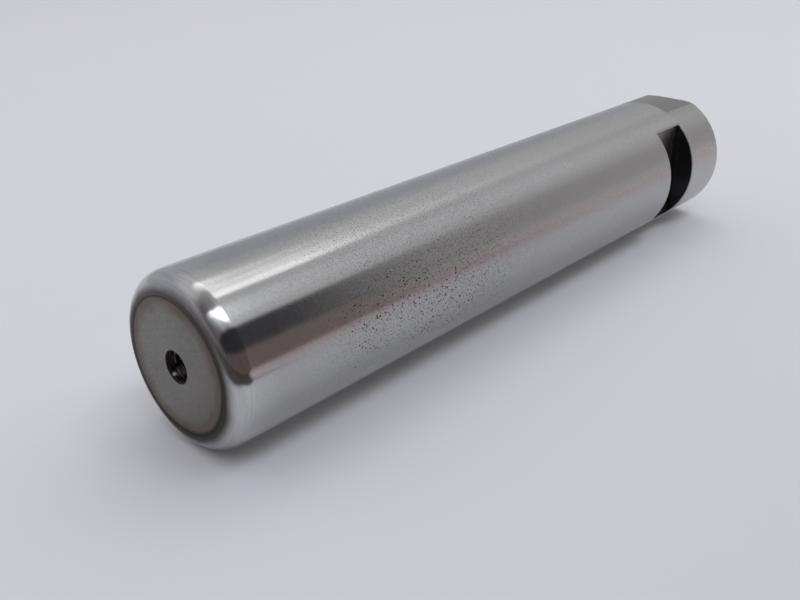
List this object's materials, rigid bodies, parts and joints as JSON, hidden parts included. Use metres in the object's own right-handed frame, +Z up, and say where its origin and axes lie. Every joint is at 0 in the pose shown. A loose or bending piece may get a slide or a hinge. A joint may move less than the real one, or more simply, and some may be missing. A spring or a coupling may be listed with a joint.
{
  "type": "fulcrum pin",
  "caption": "Ground steel fulcrum pin with a rounded nose tapped for a puller screw, a keeper slot near the other end and a flat along its short head.",
  "frame": {"origin": "centre of the plain head end, on the pin's axis, which is the face it stands on", "axes": "+Z up the pin's axis from the head end to the nose, +X out of the flat on the head, -Y out of the keeper slot"},
  "size_m": [0.025, 0.025, 0.128],
  "materials": {
    "ground_steel": "ground and polished steel, finely pitted, with a dull turned nose face"
  },
  "bodies": {
    "root": {"fulcrum_pin": "ground_steel"}
  },
  "joints": []
}
